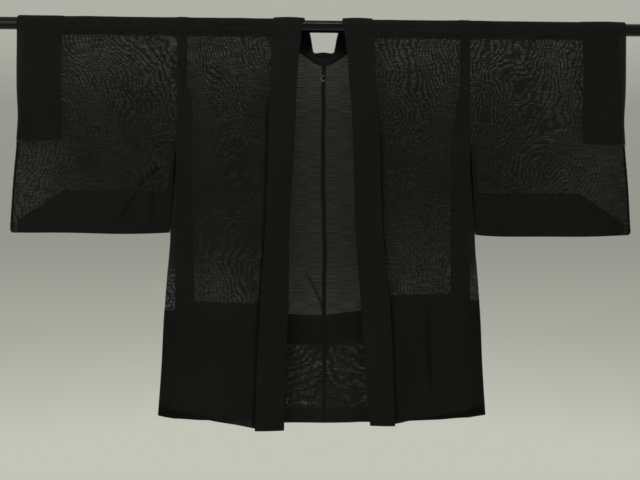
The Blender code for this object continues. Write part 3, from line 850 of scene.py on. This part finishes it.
# How the moire runs on a back leaf and on a front one: more with the weft, and with the warp
moireRuns = {"Wander": (5.0, 10.0), "Lean": (14.0, 36.0),
             "Run across": (14.0, 124.0), "Run down": (42.0, 12.0)}


# One layer of gauze. Attributes of its mesh: "sheer" scales the light that it passes, with painted light in
# patches, "moire" is the share of the pattern, "front" is 1 on a front leaf, and "fold" darkens it with
# painted shade in creases, crevices and corners.
def gauzeMaterial(name, look, marks=(), passed=0.1, contrast=0.8, lint=0.4, bump=0.25):
    material, tree, shader = newMaterial(name, look["roughness"], look["specular"])
    place = addNode(tree, "ShaderNodeUVMap", uv_map="weave").outputs["UV"]
    solid = addNode(tree, "ShaderNodeTexCoord").outputs["Object"]
    weave = groupNode(tree, "weave", {"Weave": place, "Contrast": contrast})
    worn = groupNode(tree, "worn", {"Place": solid, "Lint": lint})
    tones = [weave["Tint"], worn["Tint"]]
    mark = {label: addNode(tree, "ShaderNodeAttribute", attribute_name=label).outputs["Fac"]
            for label in marks}
    # Painted shade: the fold mark darkens the colour in pinched creases, crevices, the hem's corners and the
    # collar's inside
    if "fold" in mark:
        tones.append(plus(tree, 1.0, (mark["fold"], look["foldShadeTone"])))
    if "moire" in mark:
        runs = {label: mapped(tree, mark["front"], 0.0, 1.0, *ends) for label, ends in moireRuns.items()}
        moire = groupNode(tree, "moire", dict(runs, Weave=place, Seed=mark["seed"]))
        swing = plus(tree, look["moireBase"] - 1, (moire["Light"], look["moireGain"]))
        swing = plus(tree, 1.0, (swing, mark["moire"]))
        unfolded = maths(tree, "SUBTRACT", 1.0, mark["fold"])
        passed = mapped(tree, mark["front"], 0.0, 1.0, look["backPass"], look["frontPass"])
        passed = product(tree, passed, swing, mark["sheer"], unfolded)
    sheer = groupNode(tree, "sheer", {"Pass": product(tree, weave["Opening"], passed)})
    base = tinted(tree, look["colour"], *tones)
    linted = {0: worn["Lint"], 6: base, 7: (*look["lint"], 1)}
    base = addNode(tree, "ShaderNodeMix", linted, data_type="RGBA").outputs[2]
    relief = {"Height": weave["Height"], "Strength": bump, "Distance": 0.0002}
    normal = addNode(tree, "ShaderNodeBump", relief).outputs["Normal"]
    tree.links.new(base, shader.inputs["Base Color"])
    tree.links.new(sheer["Alpha"], shader.inputs["Alpha"])
    tree.links.new(normal, shader.inputs["Normal"])
    return material


threadLook = dict(black=(0.013, 0.013, 0.0125), pale=(0.34, 0.33, 0.29), roughness=0.45, specular=0.25)


def threadMaterial(name, colour):
    material, tree, shader = newMaterial(name, threadLook["roughness"], threadLook["specular"])
    tree.links.new(tinted(tree, colour, cloudy(tree, 900, 1.0, 0.75, 1.25)), shader.inputs["Base Color"])
    return material


rodLook = dict(colour=(0.0020, 0.0020, 0.0021), roughness=0.2, specular=0.20, bevel=0.0008, sides=96)


def rodMaterial():
    material, tree, shader = newMaterial("blackRod", rodLook["roughness"], rodLook["specular"])
    place = addNode(tree, "ShaderNodeTexCoord").outputs["Object"]
    scratches = mapped(tree, noiseOf(tree, place, 1, 3.0, (9, 420, 420)), 0.56, 0.72, 0.0, 0.06)
    rough = maths(tree, "ADD", cloudy(tree, 12, 3.0, 0.08, 0.12), scratches)
    tree.links.new(rough, shader.inputs["Roughness"])
    base = tinted(tree, rodLook["colour"], cloudy(tree, 30, 2.0, 0.8, 1.3))
    tree.links.new(base, shader.inputs["Base Color"])
    return material


finishes = dict(
    gauze=gauzeMaterial("roGauze", gauzeLook, marks=("sheer", "moire", "front", "fold", "seed")),
    seam=gauzeMaterial("seamGauze", seamLook, passed=0.01, contrast=0.5, lint=0.2),
    turned=gauzeMaterial("turnedGauze", gauzeLook, passed=0.10, contrast=0.5, lint=0.2),
    collar=gauzeMaterial("collarGauze", collarLook, marks=("fold",), passed=0.004, contrast=0.22, bump=0.35),
    stitch=threadMaterial("blackThread", threadLook["black"]),
    thread=threadMaterial("paleThread", threadLook["pale"]),
    rod=rodMaterial(),
)
print("finishes made")


def addMesh(name, points, faces, finish, uv=None, marks=None):
    mesh = bpy.data.meshes.new(name)
    mesh.from_pydata(points, [], faces)
    mesh.shade_smooth()
    mesh.set_sharp_from_angle(angle=math.radians(35))
    if uv is not None:
        corner = np.empty(len(mesh.loops), np.int32)
        mesh.loops.foreach_get("vertex_index", corner)
        mesh.uv_layers.new(name="weave").data.foreach_set("uv", uv[corner].ravel())
    for label, values in (marks or {}).items():
        mesh.attributes.new(label, "FLOAT", "POINT").data.foreach_set("value", values)
    mesh.materials.append(finishes[finish])
    piece = bpy.data.objects.new(name, mesh)
    bpy.context.scene.collection.objects.link(piece)
    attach(piece, "root")
    return piece


# A thin closed shell: the grid moved half a thickness each way along its normals, with a rim
def addSheet(name, grid, uv, finish, thickness, marks=None):
    rows, columns = grid.shape[:2]
    rise = gridNormals(grid) * thickness / 2
    count = rows * columns
    points = np.concatenate([(grid + rise).reshape(-1, 3), (grid - rise).reshape(-1, 3)])
    index = np.arange(count).reshape(rows, columns)
    upper = np.stack([index[:-1, :-1], index[1:, :-1], index[1:, 1:], index[:-1, 1:]], axis=-1).reshape(-1, 4)
    lower = upper[:, ::-1] + count
    loop = np.concatenate([index[:-1, 0], index[-1, :-1], index[:0:-1, -1], index[0, :0:-1]])
    ahead = np.roll(loop, -1)
    rim = np.stack([ahead, loop, loop + count, ahead + count], axis=-1)
    faces = np.concatenate([upper, lower, rim]).tolist()
    twice = {key: np.tile(value.ravel(), 2) for key, value in (marks or {}).items()}
    return addMesh(name, points, faces, finish, np.tile(uv.reshape(-1, 2), (2, 1)), twice)


# Walls and end caps of a tube whose rings turn anticlockwise about the way that they are carried
def tubeFaces(rings, sides):
    index = np.arange(rings * sides).reshape(rings, sides)
    ahead = np.roll(index, -1, axis=1)
    walls = np.stack([index[:-1], ahead[:-1], ahead[1:], index[1:]], axis=-1).reshape(-1, 4)
    return walls.tolist() + [index[0, ::-1].tolist(), index[-1].tolist()]


# How much light the cloth passes, with painted light and shade in it, and where its moire shows
lightLook = dict(
    body=0.42,
    sleeve=0.50,
    dull=0.30,  # what a layer passes beside a facing, turning or allowance that lies on it
    edge=0.003,  # width over which one gives way to the other
    belowRod=-0.0170,  # above this the cloth lies on the rod
    creviceShadow={right: (-0.12, 0.95), left: (-0.16, 0.80)},  # painted shadow beside the collar: its top and strength
    hemCornerShade=-0.795,  # painted shade darkens the corners of the hem below this
    hemGlow=(-0.677, -0.818),  # between these heights light comes through the turned back hem,
    hemFoot=-0.814,  # and less of it below this
)
# Painted light: brighter patches of the front leaves, where more light shows through: x and z, half width,
# half height and gain
lightPatches = {
    ("body", right): ((0.20, -0.02, 0.20, 0.17, 0.9), (0.24, -0.57, 0.10, 0.09, 1.5)),
    ("body", left): ((0.18, -0.02, 0.22, 0.17, 0.8), (0.22, -0.52, 0.12, 0.13, 1.7)),
    ("sleeve", right): ((0.44, -0.01, 0.24, 0.18, 0.9), (0.66, -0.36, 0.11, 0.16, 3.8)),
    ("sleeve", left): ((0.45, -0.04, 0.26, 0.22, 0.7), (0.61, -0.32, 0.14, 0.16, 1.9)),
}


# What lies on the front leaf, and the shade on each leaf of the body: painted shadow in the crevice beside
# the collar and along the hem's edge, painted shade in the hem's corners, and the dark allowances of the
# centre-back seam
def bodyShade(side, x, s):
    z = dropAt(s)
    edge = lightLook["edge"]
    covered = np.maximum(smoothStep((x - bodyOuter(s) + bandWidth(side, z)) / edge),
                         smoothStep((frontTurningTop[side] - z) / edge))
    # Painted shadow in the crevice beside the collar's free edge
    start, strength = lightLook["creviceShadow"][side]
    along = strength * smoothStep((start - z) / 0.12) * (0.85 + 0.15 * np.sin(19 * z + side))
    creviceShadow = bell(x - readTable(collarEdges[side], "free", z) - 0.0030, 0.0045) * along
    # Painted shadow along the front hem's edge, and painted shade in the hem's corners
    hemShadow = 0.75 * smoothStep((x - 0.13) / 0.10) * smoothStep((backHem + 0.009 - z) / 0.006)
    corner = 0.85 * smoothStep((x - 0.15) / 0.04) * smoothStep((lightLook["hemCornerShade"] - z) / 0.02)
    return covered, {front: creviceShadow + hemShadow, back: 0.9 * bell(x, 0.0030) + corner}


def sleeveShade(side, x, s):  # the same on either side
    edge, top, z = lightLook["edge"], layers["turningTop"], dropAt(s)
    facing = x - readTable(cuffEdge, "x", z) + layers["facingWidth"] + 0.001
    covered = np.maximum(smoothStep(facing / edge) * smoothStep((z - armhole) / edge + 1),
                         smoothStep((top - z) / edge) * smoothStep((slantAt(z) - x) / edge))
    return covered, {front: 0.0, back: 0.0}


def lightMarks(kind, side, uv):
    x, s = uv[..., 0], uv[..., 1]
    z = dropAt(s)
    shadeOf, creases = {"body": (bodyShade, bodyCreases), "sleeve": (sleeveShade, sleeveCreases)}[kind]
    covered, shade = shadeOf(side, x, s)
    isFront = smoothStep(s / quarter * 0.8 + 0.1)
    belowRod = smoothStep((lightLook["belowRod"] - z) / 0.003)
    # Painted light: patches where more light passes through the front leaves
    lit = np.full(x.shape, lightLook[kind])
    for placeX, placeZ, wide, tall, gain in lightPatches[kind, side]:
        lit = lit + gain * bell(x - placeX, wide) * bell(z - placeZ, tall)
    dull = lightLook["dull"]
    glowTop, glowFoot = lightLook["hemGlow"]
    hemGlow = smoothStep((glowTop - z) / 0.006) * smoothStep((z - glowFoot) / 0.010) * (kind == "body")
    # Painted light on the back leaf: more light passes near the rod, around z -0.6 and behind the front's
    # brighter patches, and less below the hem's foot
    backSheer = 0.85 + 0.55 * bell(z, 0.15) + 0.25 * bell(z + 0.60, 0.08)
    backSheer = backSheer * (1 + 0.6 * hemGlow - 0.5 * smoothStep((lightLook["hemFoot"] - z) / 0.010))
    backSheer = backSheer * (1 + 0.25 * lit * smoothStep((x - 0.12) / 0.03))
    sheer = backSheer + (lit * (1 - covered) + dull * covered - backSheer) * isFront
    # Painted shade on each leaf: pinched creases and the shade from bodyShade
    fold = {leaf: creaseShade(creases[side, leaf], x, z) + shade[leaf] for leaf in (front, back)}
    return dict(
        front=isFront,
        sheer=dull + (sheer - dull) * belowRod,
        moire=(isFront * (1 - covered) + (1 - isFront) * 0.4 * hemGlow) * belowRod,
        fold=np.clip(np.where(s > 0, fold[front], fold[back]), 0, 1),
    )


# Painted shade in the gusset's hem corners, through the fold mark; it passes more light lower down
def gussetMarks(side, grid, uv):
    z = grid[..., 2]
    isFront = smoothStep(0.5 - uv[..., 0] / 0.004)
    foot = smoothStep((gussetCut["turningTop"][side] - z) / 0.004)
    lit = 0.9 + 1.2 * smoothStep((-0.47 - z) / 0.08)
    return dict(front=isFront, sheer=lit + (0.6 - lit) * foot, moire=isFront * (1 - foot),
                fold=0.85 * smoothStep((lightLook["hemCornerShade"] - z) / 0.02))


# Painted shade on the collar's inside behind the neck, where it lies in the dark, less so at the centre back
def collarShadeMarks(grid):
    return dict(fold=smoothStep(grid[..., 1] / 0.016) * (1 - 0.75 * bell(grid[..., 0], 0.017)))


# Each panel's own place in the moire's noise
pieceSeeds = dict(bodyRight=0.0, bodyLeft=3.1, sleeveRight=6.3, sleeveLeft=9.2,
                  gussetRight=12.4, gussetLeft=15.5)


# Width and length of the cut, and its area, from the sheet's own lengths along the threads
def flatOf(uv):
    size = np.ptp(uv.reshape(-1, 2), axis=0)
    a, b = uv[1:, 1:] - uv[:-1, :-1], uv[1:, :-1] - uv[:-1, 1:]
    area = np.abs(a[..., 0] * b[..., 1] - a[..., 1] * b[..., 0]).sum() / 2
    return tuple(float(value) for value in size), float(area)


def panel(name, surface, finish, node, restsOn=("rod",), extra=(), marks=None, thickness=cloth["thickness"]):
    grid, uv = surface
    if name in pieceSeeds:
        marks = dict(marks, seed=np.full(uv.shape[:2], pieceSeeds[name]))
    piece = addSheet(name, grid, uv, finish, thickness, marks)
    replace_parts(piece, node)
    flat, area = flatOf(uv)
    min(area, flat[0] * flat[1])
    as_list(restsOn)
    print(f"{name}: {flat[0]:.3f} x {flat[1]:.3f} m, {area:.4f} m2")


def allowance(name, surface, finish="turned"):
    return addSheet(name, *surface, finish, layers["thickness"])


# One allowance on the front leaf and one on the back leaf
def bothLeaves(kind, sheetOf, side):
    return [allowance(f"{kind}{place}{sideNames[side].capitalize()}", sheetOf(side, leaf))
            for leaf, place in ((front, "Front"), (back, "Back"))]


# The two backs are sewn together down the centre
centreBand = allowance("centreBand", centreBandSheet(), "seam")
for side, name in sideNames.items():
    title = name.capitalize()
    body, sleeve, gusset = bodySheet(side), sleeveSheet(side), gussetSheet(side)
    onBody, onSleeve = (f"body{title}",), (f"sleeve{title}",)
    panel(f"body{title}", body, "gauze", f"body_{name}", marks=lightMarks("body", side, body[1]),
          extra=bothLeaves("sideBand", sideBandSheet, side) + [centreBand] * (side == right))
    panel(f"frontHemFold{title}", frontTurningSheet(side), "turned", f"front_hem_{name}", onBody)
    panel(f"backHemFold{title}", backTurningSheet(side), "turned", f"back_hem_{name}", onBody,
          [allowance(f"backHemEdge{title}", backTurnedEdgeSheet(side))])
    panel(f"sleeve{title}", sleeve, "gauze", f"sleeve_{name}", marks=lightMarks("sleeve", side, sleeve[1]),
          extra=bothLeaves("cuffBand", cuffBandSheet, side) + bothLeaves("freeBand", freeBandSheet, side))
    panel(f"cuffFacing{title}", facingSheet(side), "turned", f"cuff_facing_{name}")
    panel(f"sleeveTurning{title}", sleeveTurningSheet(side), "turned", f"sleeve_turning_{name}", onSleeve)
    panel(f"gusset{title}", gusset, "gauze", f"gusset_{name}", onBody,
          [allowance(f"gussetHemFold{title}", gussetTurningSheet(side))], gussetMarks(side, *gusset))
collar = collarSheet()
panel("collarBand", collar, "collar", "collar", ("rod", "bodyRight", "bodyLeft"),
      marks=collarShadeMarks(collar[0]), thickness=collarCut["thickness"])
print("cloth made")


# Blind stitches along the facings and turnings
stitchLook = dict(
    length=0.0018,
    radius=0.00028,
    spacing=0.0115,
    uneven=0.0012,
    inset=0.0016,  # from the edge that they hold
)


# A line along the middle of a panel's cloth, with its outward normals
def lineOn(panelAt, side, s, x):
    near = 0.0005
    centre = panelAt(side, s, x)
    down, across = panelAt(side, s + near, x) - centre, panelAt(side, s, x + near) - centre
    return centre, outward(centre, unit(np.cross(down, across)))


# Each line that is sewn, along the inner edge of a facing or a turning
def stitchLines(side):
    inset, top = stitchLook["inset"], layers["turningTop"]
    slantX, slantZ = layers["slantEnd"]
    share = np.linspace(0.01, 0.99, 90)
    s = (armhole - quarter) * (1 - 2 * share)
    yield lineOn(sleeveAt, side, s, readTable(cuffEdge, "x", dropAt(s)) - 0.0008 - facingWidth(s) + inset)
    start = sleeveInner(top - inset)
    level = start + (layers["slantTop"] - start) * share, np.full(90, top - inset)
    slant = (slantX * share + layers["slantTop"] * (1 - share) - inset,
             slantZ * share + top * (1 - share) - inset)
    for leaf in (front, back):
        for x, z in (level, slant):
            yield lineOn(sleeveAt, side, -leaf * (quarter - z), x)
    s = np.full(90, quarter - frontTurningTop[side] + inset)
    inner = readTable(collarEdges[side], "free", dropAt(s)) + 0.004
    yield lineOn(bodyAt, side, s, inner + (bodyOuter(s) - inner) * share)
    x = 0.004 + 0.300 * share
    s = backTopRise(side, x) - (quarter - backTurningTop + 0.004 + inset)
    for row in (0, layers["backTurnedEdge"]):
        yield lineOn(bodyAt, side, s - row, x)


# Beads of thread at nearly equal spacing along each line: a six-sided spindle, laid along it
def addStitches(lines):
    station = np.array([-1, -0.6, 0, 0.6, 1])[:, None]
    around = np.linspace(0, 2 * math.pi, 6, endpoint=False)
    fat = stitchLook["radius"] * np.sqrt(1 - station ** 2 * 0.97)
    bead = stacked(station * stitchLook["length"] / 2, fat * np.cos(around), fat * np.sin(around))
    walls, bead = tubeFaces(*bead.shape[:2]), bead.reshape(-1, 3)
    beads = []
    for centre, normal in lines:
        run = np.concatenate([[0], np.cumsum(np.linalg.norm(np.diff(centre, axis=0), axis=1))])
        at = np.arange(stitchLook["spacing"] / 2, run[-1], stitchLook["spacing"])
        at = at + stitchLook["uneven"] * np.sin(at * 911)
        middle, up, along = (np.stack([np.interp(at, run, column) for column in values.T], axis=1)
                             for values in (centre, normal, np.gradient(centre, run, axis=0)))
        along = unit(along)
        up = unit(up - along * np.sum(up * along, axis=1, keepdims=True))
        middle = middle + up * (cloth["thickness"] / 2 + stitchLook["radius"] * 0.3)
        axes = np.stack([along, np.cross(up, along), up], axis=1)
        beads.append(middle[:, None] + bead @ axes)
    points = np.concatenate(beads).reshape(-1, 3)
    starts = range(0, len(points), len(bead))
    faces = [[first + corner for corner in face] for first in starts for face in walls]
    addMesh("hemStitches", points, faces, "stitch")


# A slack end of pale thread on the centre-back seam, inside, below the collar: a thread's round
# section carried along a twisted loop that doesn't close
loopLook = dict(wide=0.0036, tall=0.0066, thread=0.00024, z=-0.1060, aside=-0.0024, off=-0.0019, deep=0.0008)


def addThread():
    turn = np.linspace(0.2, 3.7, 46)
    around = np.linspace(0, 2 * math.pi, 8, endpoint=False)[:, None]
    (x, y, _), = bodyAt(left, np.array([loopLook["z"] - quarter]), np.array([0.0]))
    line = stacked(x + loopLook["aside"] + loopLook["wide"] * np.sin(2.6 * turn + 0.5),
                   y + loopLook["off"] + loopLook["deep"] * np.cos(2.6 * turn),
                   loopLook["z"] + loopLook["tall"] * np.cos(turn))
    along = unit(np.gradient(line, axis=0))
    beside = unit(np.cross(along, (0, 1, 0)))
    above = np.cross(along, beside)
    section = beside[:, None] * np.cos(around) + above[:, None] * np.sin(around)
    grid = line[:, None] + loopLook["thread"] * section
    addMesh("threadLoop", grid.reshape(-1, 3), tubeFaces(*grid.shape[:2]), "thread")


addStitches([line for side in (right, left) for line in stitchLines(side)])
addThread()
print("stitches made")


# The rod: a circle carried along X, with rounded rims and flat ends
def addRod():
    bevel = rodLook["bevel"]
    turn = np.linspace(0, math.pi / 2, 5)
    x = rodEnd - bevel * (1 - np.cos(turn))
    radius = rodRadius - bevel * (1 - np.sin(turn))
    x, radius = np.concatenate([-x, x[::-1]])[:, None], np.concatenate([radius, radius[::-1]])[:, None]
    angle = np.linspace(0, 2 * math.pi, rodLook["sides"], endpoint=False)
    rings = stacked(x, radius * np.cos(angle), radius * np.sin(angle))
    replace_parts(addMesh("rodBar", rings.reshape(-1, 3), tubeFaces(*rings.shape[:2]), "rod"), "rod")


addRod()
print("rod made")


# Floor, light and camera
studio = dict(
    lens=32.14,
    camera=(-0.0293, -1.215, -0.4537),
    aim=(-0.0073, -0.015, -0.4537),
    askew=0.00475,  # the camera is held at a very slight tilt
    floorDrop=1.95,
    floorRadius=2.05,
    floorColour=(0.86, 0.86, 0.80),
    wallWarmth=0.88,
    # height from -1 to 1, and light
    wall=((-0.62, 0.40), (-0.42, 0.55), (-0.30, 0.55), (-0.15, 0.40), (0.0, 0.30), (0.20, 0.31), (0.30, 0.43),
          (1.0, 0.50)),
)


def placed(name, data, place=(0, 0, 0), aim=None, roll=0.0):
    item = bpy.data.objects.new(name, data)
    item.location = place
    if aim:
        level = (Vector(aim) - Vector(place)).to_track_quat("-Z", "Y")
        item.rotation_euler = (level @ Quaternion((0, 0, 1), roll)).to_euler()
    bpy.context.scene.collection.objects.link(item)
    return item


def discFloor():
    angle = np.linspace(0, 2 * math.pi, 96, endpoint=False)
    rim = stacked(np.cos(angle), np.sin(angle), 0) * studio["floorRadius"] - (0, 0, studio["floorDrop"])
    mesh = bpy.data.meshes.new("floor")
    mesh.from_pydata(rim, [], [list(range(len(rim)))])
    material, tree, shader = newMaterial("paleFloor", 0.8, 0.2)
    colour = tinted(tree, studio["floorColour"], cloudy(tree, 6, 2.0, 0.97, 1.03))
    tree.links.new(colour, shader.inputs["Base Color"])
    mesh.materials.append(material)
    placed("floor", mesh)


def paleWorld():
    world = bpy.data.worlds.new("paleRoom")
    bpy.context.scene.world = world
    world.use_nodes = True
    tree = world.node_tree
    direction = addNode(tree, "ShaderNodeTexCoord").outputs["Generated"]
    height = addNode(tree, "ShaderNodeSeparateXYZ", {0: direction}).outputs["Z"]
    ramp = addNode(tree, "ShaderNodeValToRGB", {0: mapped(tree, height, -1.0, 1.0, 0.0, 1.0)})
    while len(ramp.color_ramp.elements) < len(studio["wall"]):
        ramp.color_ramp.elements.new(0.5)
    for element, (place, light) in zip(ramp.color_ramp.elements, studio["wall"]):
        element.position = (place + 1) / 2
        element.color = (light, light, light * studio["wallWarmth"], 1)
    tree.links.new(ramp.outputs["Color"], tree.nodes["Background"].inputs["Color"])


def areaLight(name, place, aim, size, power):
    lamp = bpy.data.lights.new(name, "AREA")
    lamp.shape = "RECTANGLE"
    lamp.size, lamp.size_y = size
    lamp.energy = power
    placed(name, lamp, place, aim)


def frontCamera():
    lens = bpy.data.cameras.new("frontCamera")
    lens.lens = studio["lens"]
    lens.clip_start = 0.05
    bpy.context.scene.camera = placed("frontCamera", lens, studio["camera"], studio["aim"], studio["askew"])


discFloor()
paleWorld()
areaLight("stripLight", (0.0, -1.75, 1.92), (0, 0, -0.2), (3.4, 0.10), 36)
areaLight("lowStripLight", (0.0, -0.60, -1.75), (0, 0, -0.1), (3.0, 0.04), 4.0)
areaLight("fillLight", (-1.9, -2.0, -0.1), (0, 0, -0.7), (1.6, 1.6), 12)
areaLight("backLight", (0.6, 2.4, 1.0), (0, 0, -0.4), (1.6, 1.6), 10)
frontCamera()
bpy.context.scene.view_settings.view_transform = "Standard"
bpy.context.scene.cycles.transparent_max_bounces = 32
